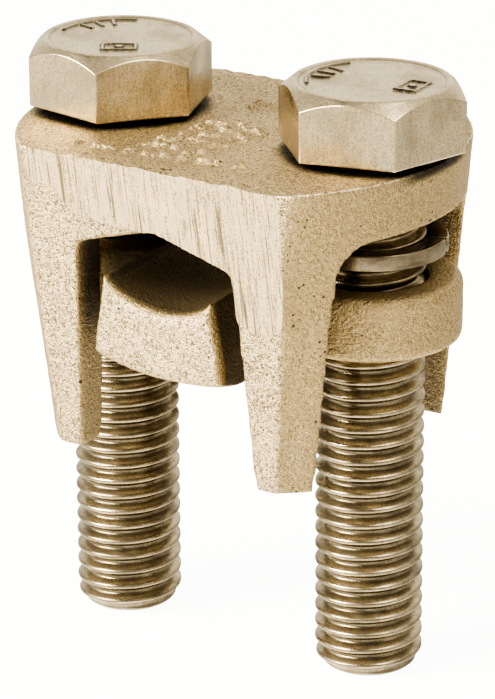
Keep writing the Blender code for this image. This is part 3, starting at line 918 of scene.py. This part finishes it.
def make_ring(side, look):
    """One turn of square bar, cut through, with rounded edges."""
    low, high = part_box("lock_ring_" + side)
    outer = (high.x - low.x) / 2
    inner = RING_INNER_RADIUS
    thick = RING_THICKNESS
    rise = high.z - low.z - thick
    section = []
    for cx, cz, first in ((outer, thick, 0), (inner, thick, 90), (inner, 0, 180), (outer, 0, 270)):
        for k in range(4):
            a = math.radians(first + 30 * k)
            sx = cx + RING_EDGE * (math.cos(a) - (1 if cx == outer else -1))
            sz = cz + RING_EDGE * (math.sin(a) - (1 if cz == thick else -1))
            section.append((sx, sz))
    count = len(section)
    points = []
    faces = []
    middle = ((outer + inner) / 2, thick / 2)
    ends = [(0.0, 0.86), (0.35 / 360, 0.965)]
    stations = list(ends)
    stations += [(k / RING_STEPS, 1.0) for k in range(1, RING_STEPS)]
    stations += [(1 - s, f) for s, f in reversed(ends)]
    for share, full in stations:
        angle = RING_GAP_FROM - share * (2 * math.pi - RING_GAP)
        lift = low.z + rise * (1 - share)
        for sx, sz in section:
            r = middle[0] + (sx - middle[0]) * full
            z = middle[1] + (sz - middle[1]) * full
            points.append((r * math.cos(angle), r * math.sin(angle), lift + z))
    for k in range(len(stations) - 1):
        faces += ring_faces(k * count, (k + 1) * count, count)
    last = (len(stations) - 1) * count
    faces.append(tuple(range(count))[::-1])
    faces.append(tuple(last + i for i in range(count)))
    obj = new_piece(
        "split_ring_" + side, points, faces, [look], BODY_OF_BOLT[side], "lock_ring_" + side
    )
    obj.location.x = bolt_axis(side)
    bm = bmesh.new()
    bm.from_mesh(obj.data)
    bmesh.ops.recalc_face_normals(bm, faces=bm.faces[:])
    bm.to_mesh(obj.data)
    bm.free()


# ---------------------------------------------------------------- studio


def make_camera():
    """The camera, from its place and its three angles."""
    right = Vector((math.cos(CAMERA_AZIMUTH), math.sin(CAMERA_AZIMUTH), 0))
    level = Vector((-math.sin(CAMERA_AZIMUTH), math.cos(CAMERA_AZIMUTH), 0))
    forward = level * math.cos(CAMERA_DROP) - Vector((0, 0, math.sin(CAMERA_DROP)))
    up = right.cross(forward)
    c, s = math.cos(CAMERA_ROLL), math.sin(CAMERA_ROLL)
    across = c * right + s * up
    upward = c * up - s * right
    data = bpy.data.cameras.new("camera")
    data.lens = CAMERA_LENS
    data.sensor_width = SENSOR
    data.clip_start = 0.01
    data.clip_end = 20
    camera = bpy.data.objects.new("camera", data)
    turn = Matrix((across, upward, -forward)).transposed()
    camera.matrix_world = Matrix.Translation(CAMERA_AT) @ turn.to_4x4()
    bpy.context.scene.collection.objects.link(camera)
    bpy.context.scene.camera = camera


def make_floor():
    """A glowing white floor that the camera sees and the clamp doesn't."""
    mesh = bpy.data.meshes.new("floor")
    corners = [(x * FLOOR_REACH, y * FLOOR_REACH, 0) for x, y in ((-1, -1), (1, -1), (1, 1), (-1, 1))]
    mesh.from_pydata(corners, [], [(0, 1, 2, 3)])
    floor = bpy.data.objects.new("floor", mesh)
    bpy.context.scene.collection.objects.link(floor)
    look, _, shader = new_look("pale_floor")
    shader.inputs["Base Color"].default_value = FLOOR_GREY
    shader.inputs["Roughness"].default_value = 0.9
    shader.inputs["Emission Color"].default_value = PAPER_WHITE
    shader.inputs["Emission Strength"].default_value = FLOOR_GLOW
    mesh.materials.append(look)
    floor.visible_glossy = False
    floor.visible_diffuse = False
    floor.visible_shadow = False


def make_world():
    """White behind the clamp. Its reflections see a pale floor, a dim ceiling and a lighter wall."""
    world = bpy.data.worlds.new("studio")
    bpy.context.scene.world = world
    world.use_nodes = True
    tree = world.node_tree
    ray = add(tree, "TexCoord").outputs["Generated"]
    up = add(tree, "SeparateXYZ", {0: ray}).outputs[2]

    def along(direction):
        return add(tree, "VectorMath", {0: ray, 1: direction}, operation="DOT_PRODUCT").outputs["Value"]

    floor = mapped(tree, along(TO_KEY), -1.0, 0.8, 0.82, 1.35)
    floor = times(tree, floor, mapped(tree, up, -0.85, -0.42, 2.6, 1.0))
    ceiling = mapped(tree, along(TO_WALL), 0.55, 0.97, 0.26, 1.3)
    ceiling = math_of(tree, "ADD", ceiling, mapped(tree, along(TO_SIDE), 0.35, 0.95, 0.0, 0.55))
    horizon = {"Value": up, "From Min": -0.05, "From Max": 0.12, "To Min": floor, "To Max": ceiling}
    level = add(tree, "MapRange", horizon)
    back = tree.nodes["Background"]
    tree.links.new(level.outputs[0], back.inputs[1])
    back.inputs[0].default_value = (*WARM_WHITE, 1)
    white = tree.nodes.new("ShaderNodeBackground")
    white.inputs[0].default_value = PAPER_WHITE
    white.inputs[1].default_value = PAPER_GLOW
    mix = tree.nodes.new("ShaderNodeMixShader")
    path = tree.nodes.new("ShaderNodeLightPath")
    tree.links.new(path.outputs["Is Camera Ray"], mix.inputs[0])
    tree.links.new(back.outputs[0], mix.inputs[1])
    tree.links.new(white.outputs[0], mix.inputs[2])
    tree.links.new(mix.outputs[0], tree.nodes["World Output"].inputs[0])


def soft_box(name, azimuth, elevation, distance, width, height, power):
    """A rectangular light facing the clamp, from an azimuth measured from the front towards +X."""
    data = bpy.data.lights.new(name, "AREA")
    data.shape = "RECTANGLE"
    data.size = width
    data.size_y = height
    data.energy = power
    data.color = WARM_WHITE
    light = bpy.data.objects.new(name, data)
    bpy.context.scene.collection.objects.link(light)
    a, e = math.radians(azimuth), math.radians(elevation)
    away = Vector((math.sin(a) * math.cos(e), -math.cos(a) * math.cos(e), math.sin(e)))
    light.location = LIGHTS_AIM + away * distance
    light.rotation_mode = "QUATERNION"
    light.rotation_quaternion = away.to_track_quat("Z", "Y")


def make_lights():
    soft_box("key", azimuth=-37, elevation=30, distance=0.8, width=0.45, height=0.5, power=20)
    soft_box("fill", azimuth=78, elevation=18, distance=1.0, width=0.5, height=0.5, power=0.6)
    soft_box("rim", azimuth=75, elevation=62, distance=0.9, width=0.5, height=0.3, power=3.0)


def set_film():
    view = bpy.context.scene.view_settings
    view.view_transform = "AgX"
    view.look = "AgX - High Contrast"


# ---------------------------------------------------------------- the scene

make_saddle(cast_look("cast_saddle_bronze", shade_inside_saddle), ground_look("ground_saddle_bronze"))
make_jaw(cast_look("cast_jaw_bronze", shade_inside_jaw))
thread_bronze = bolt_look("rolled_thread_bronze", True)
head_bronze = bolt_look("satin_head_bronze", False)
# The washer faces carry painted shade
seat_bronze = seat_look("shaded_seat_bronze")
# The split rings are darkened mostly to the dull dark: painted shade
shaded_ring_bronze = bolt_look("shaded_split_ring_bronze", True, 0.6, 0.95)
for side in SIDES:
    make_bolt(side, [thread_bronze, head_bronze, seat_bronze])
    make_ring(side, shaded_ring_bronze)
make_camera()
make_floor()
make_world()
make_lights()
set_film()

bpy.context.view_layer.update()
